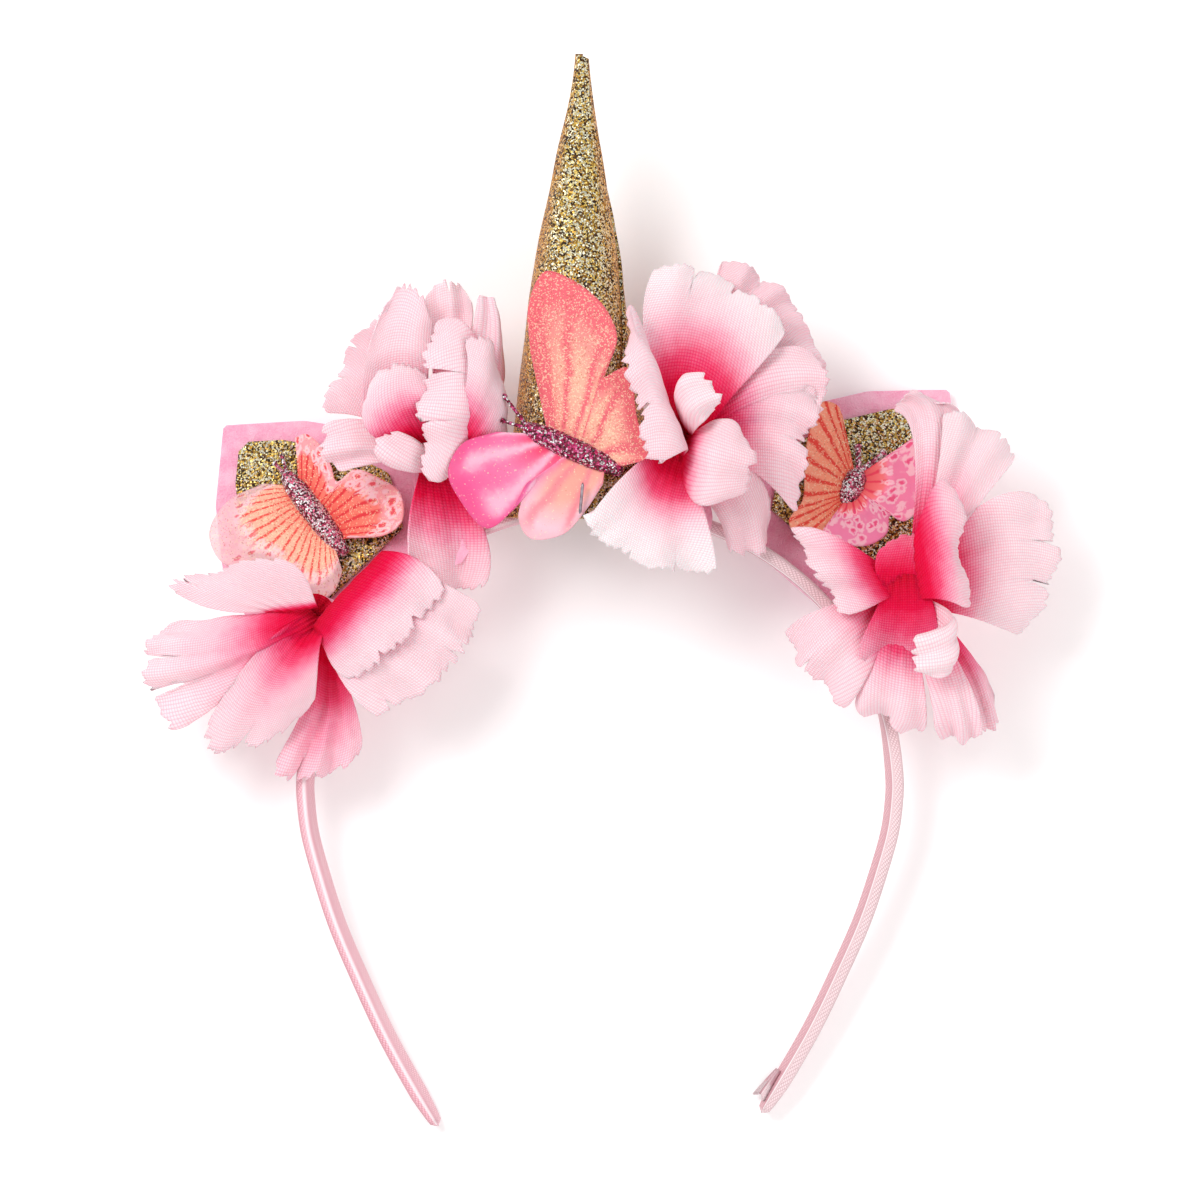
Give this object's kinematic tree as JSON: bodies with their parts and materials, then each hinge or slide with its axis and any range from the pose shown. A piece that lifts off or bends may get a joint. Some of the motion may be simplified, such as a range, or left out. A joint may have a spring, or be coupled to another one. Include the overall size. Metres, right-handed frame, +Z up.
{
  "type": "unicorn horn headband",
  "caption": "Fancy-dress headband: a ribbon-wrapped band with a rolled glitter horn, felt ears, cloth flowers and butterflies; lies on its back and is worn over the head.",
  "frame": {"origin": "on the surface that the headband lies on, below the middle of its bounding box", "axes": "+X to the right as seen from the front, +Y from the leg tips toward the tip of the horn, +Z up, out of the front of the headband"},
  "size_m": [0.2138, 0.2476, 0.0497],
  "materials": {
    "ribbon": "satin weave wrapped round a plastic band",
    "horn_glitter": "gold glitter on foam sheet",
    "ear_felt": "matt felt",
    "ear_glitter": "gold glitter sheet",
    "petal_cloth": "fine dyed weave, white rim to pink and crimson throat",
    "wing_print": "printed wing cloth, thin and slightly sheer",
    "butterfly_glitter": "pink and silver glitter",
    "pin_wire": "dull grey wire"
  },
  "bodies": {
    "root": {"band": "ribbon", "ribbon_end": "ribbon", "horn": "horn_glitter", "ear_left_felt": "ear_felt", "ear_left_glitter": "ear_glitter", "ear_right_felt": "ear_felt", "ear_right_glitter": "ear_glitter", "butterfly_middle_body": "butterfly_glitter", "butterfly_left_body": "butterfly_glitter", "butterfly_right_body": "butterfly_glitter", "butterfly_middle_wing_upper": "wing_print", "butterfly_middle_wing_lower": "wing_print", "butterfly_left_wing_lower": "wing_print", "butterfly_left_wing_upper": "wing_print", "butterfly_right_wing_left": "wing_print", "butterfly_right_wing_right": "wing_print", "butterfly_middle_pin": "pin_wire", "flower_low_left_pad": "ear_felt", "flower_top_left_pad": "ear_felt", "flower_top_right_pad": "ear_felt", "flower_low_right_pad": "ear_felt", "flower_top_left_front": "petal_cloth", "flower_top_right_front": "petal_cloth", "flower_low_right_front": "petal_cloth", "flower_low_left_back": "petal_cloth", "flower_top_left_back": "petal_cloth", "flower_top_right_back": "petal_cloth", "flower_low_right_back": "petal_cloth"}
  },
  "joints": []
}
